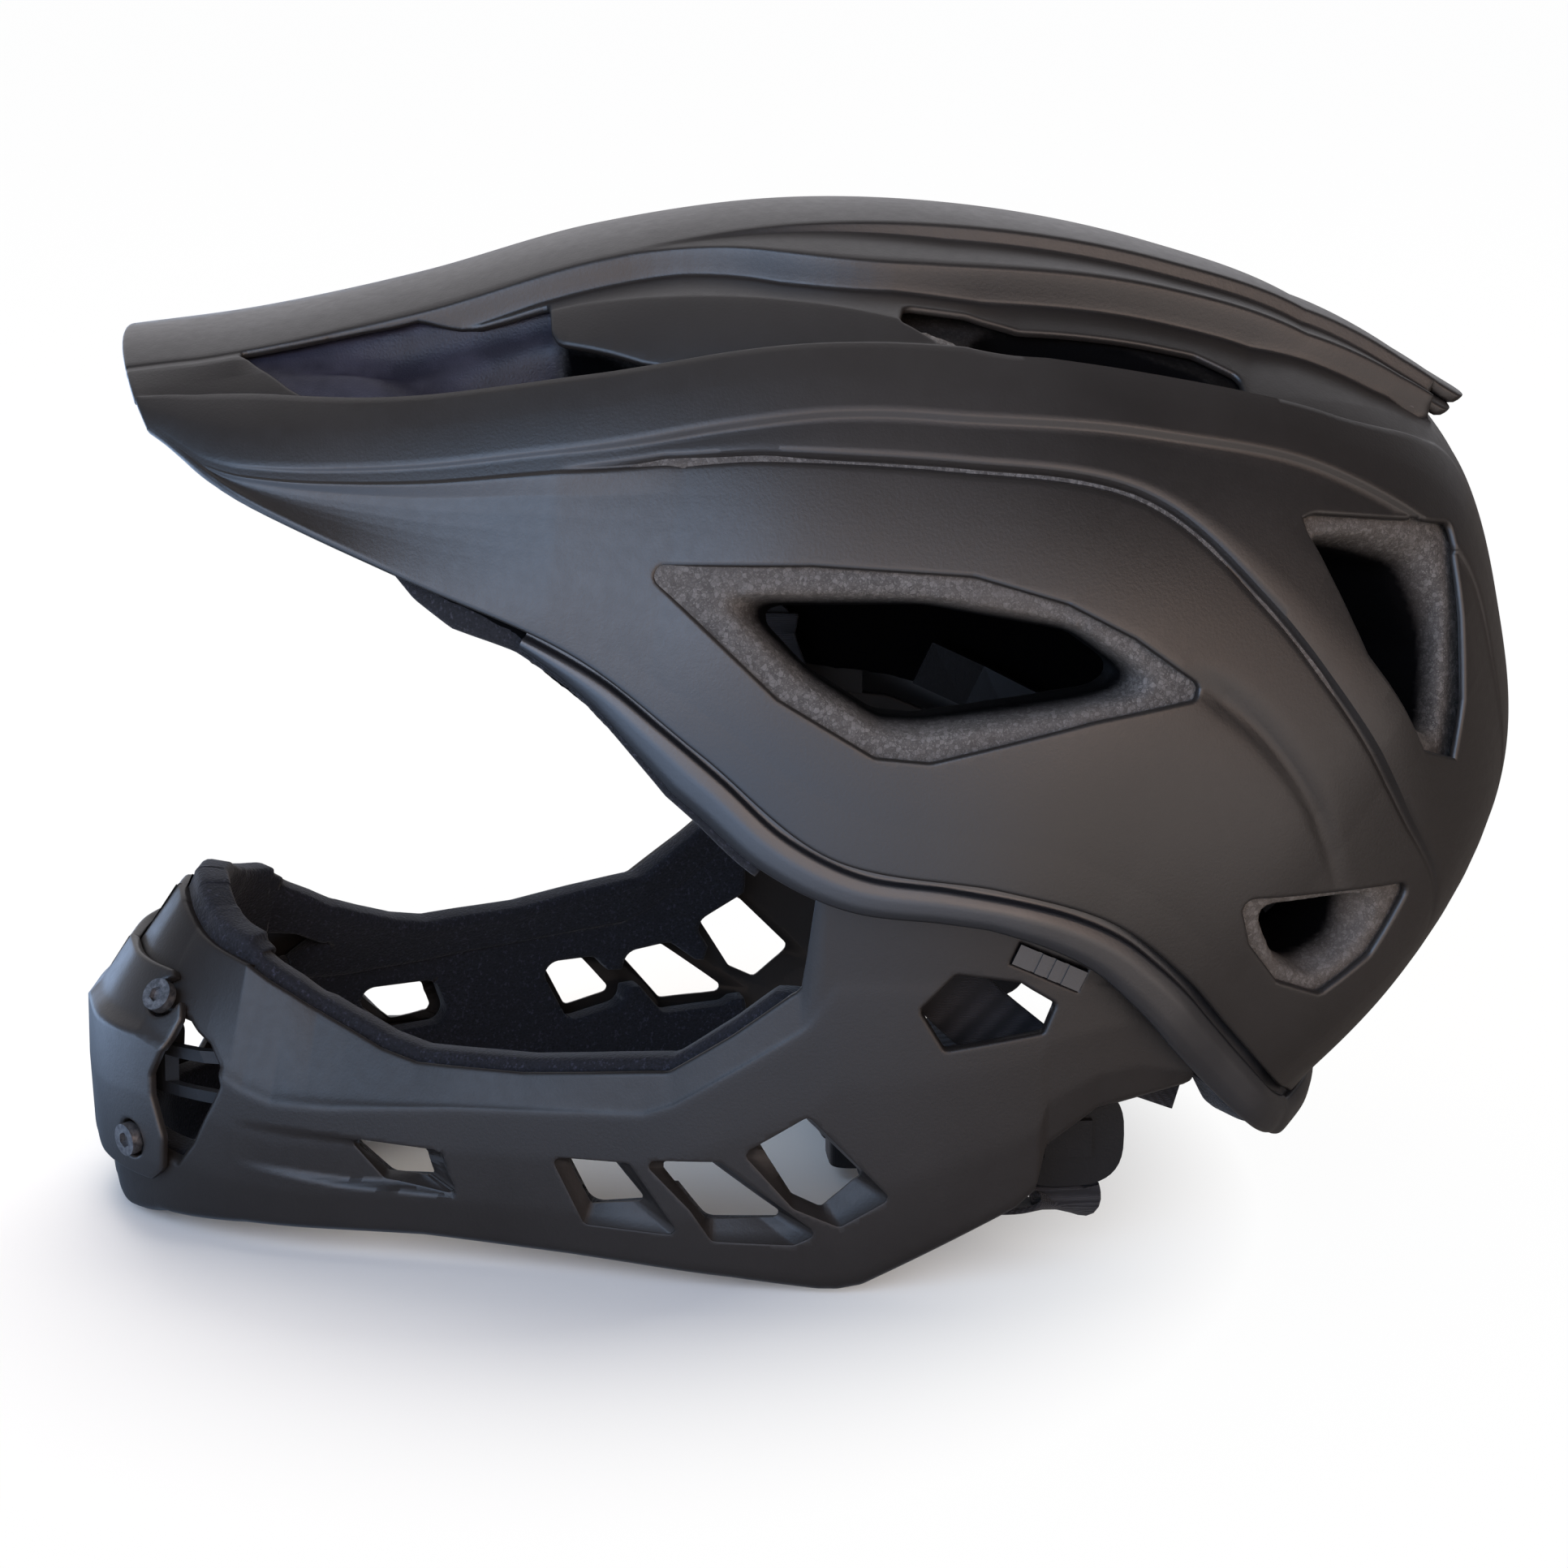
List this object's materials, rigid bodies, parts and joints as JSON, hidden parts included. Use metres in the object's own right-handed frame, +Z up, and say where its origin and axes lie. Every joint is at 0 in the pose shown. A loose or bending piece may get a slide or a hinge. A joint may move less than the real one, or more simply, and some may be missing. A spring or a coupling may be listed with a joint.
{
  "type": "bicycle helmet",
  "caption": "Child's bicycle helmet: vented shell with a visor, foam liner, dial fit system, buckled straps and a detachable chin guard with push latches.",
  "frame": {"origin": "centre of the bounding box's bottom face, on the plane that the chin guard's foot stands on", "axes": "+X towards the wearer's left, -Y towards the face opening and the visor's front edge, +Y towards the nape, +Z up"},
  "size_m": [0.1948, 0.3096, 0.215],
  "materials": {
    "shell": "satin",
    "guard": "satin",
    "foam": "matt beads",
    "trim": "satin",
    "fabric": "woven mesh",
    "fitting": "satin",
    "webbing": "woven",
    "steel": "blackened"
  },
  "bodies": {
    "helmet": {"outer_shell": "shell", "foam_liner": "foam", "lower_trim": "trim", "brow_pad": "fabric", "crown_pad": "fabric", "side_pad_left": "fabric", "side_pad_right": "fabric", "cradle_anchor": "fitting", "strap_anchors": "fitting", "front_strap_left": "webbing", "front_strap_right": "webbing", "rear_strap_left": "webbing", "rear_strap_right": "webbing", "strap_divider_left": "fitting", "strap_divider_right": "fitting", "chin_strap_left": "webbing", "chin_strap_right": "webbing", "buckle_socket": "fitting"},
    "guard": {"chin_guard": "guard", "chin_lining": "fabric", "chin_cover": "guard", "cover_screws": "steel", "chin_grille": "fitting", "latch_springs": "steel"},
    "latch_left": {"latch_button_left": "trim"},
    "latch_right": {"latch_button_right": "trim"},
    "cradle": {"cradle_yoke": "fitting", "dial_housing": "fitting", "housing_cover": "fitting", "nape_pad": "fabric"},
    "dial": {"fit_dial": "fitting", "dial_pinion": "fitting"},
    "band_left": {"headband_left": "fitting"},
    "band_right": {"headband_right": "fitting"},
    "buckle": {"buckle_plug": "fitting"}
  },
  "joints": [
    {"name": "guard_release", "type": "slide", "parent": "helmet", "child": "guard", "axis": [0, -0.342, -0.9397], "range_m": [0, 0.06]},
    {"name": "latch_left_press", "type": "slide", "parent": "guard", "child": "latch_left", "axis": [-1, 0, 0], "range_m": [0, 0.0025], "stiffness_N_per_m": 800, "springref_m": -0.001},
    {"name": "latch_right_press", "type": "slide", "parent": "guard", "child": "latch_right", "axis": [1, 0, 0], "range_m": [0, 0.0025], "stiffness_N_per_m": 800, "springref_m": -0.001},
    {"name": "cradle_height", "type": "slide", "parent": "helmet", "child": "cradle", "axis": [0, 0, 1], "range_m": [0, 0.01]},
    {"name": "dial_turn", "type": "hinge", "parent": "cradle", "child": "dial", "pos_m": [0, 0.1133, 0.062], "axis": [0, -1, 0], "range_deg": [0, 114.5]},
    {"name": "band_left_draw", "type": "slide", "parent": "cradle", "child": "band_left", "axis": [-1, 0, 0], "range_m": [0, 0.01]},
    {"name": "band_right_draw", "type": "slide", "parent": "cradle", "child": "band_right", "axis": [1, 0, 0], "range_m": [0, 0.01]},
    {"name": "buckle_release", "type": "slide", "parent": "helmet", "child": "buckle", "axis": [1, 0, 0], "range_m": [0, 0.012]}
  ],
  "couplings": [
    {"joint": "band_left_draw", "follows": "dial_turn", "m_per_rad": 0.005},
    {"joint": "band_right_draw", "follows": "dial_turn", "m_per_rad": 0.005}
  ]
}
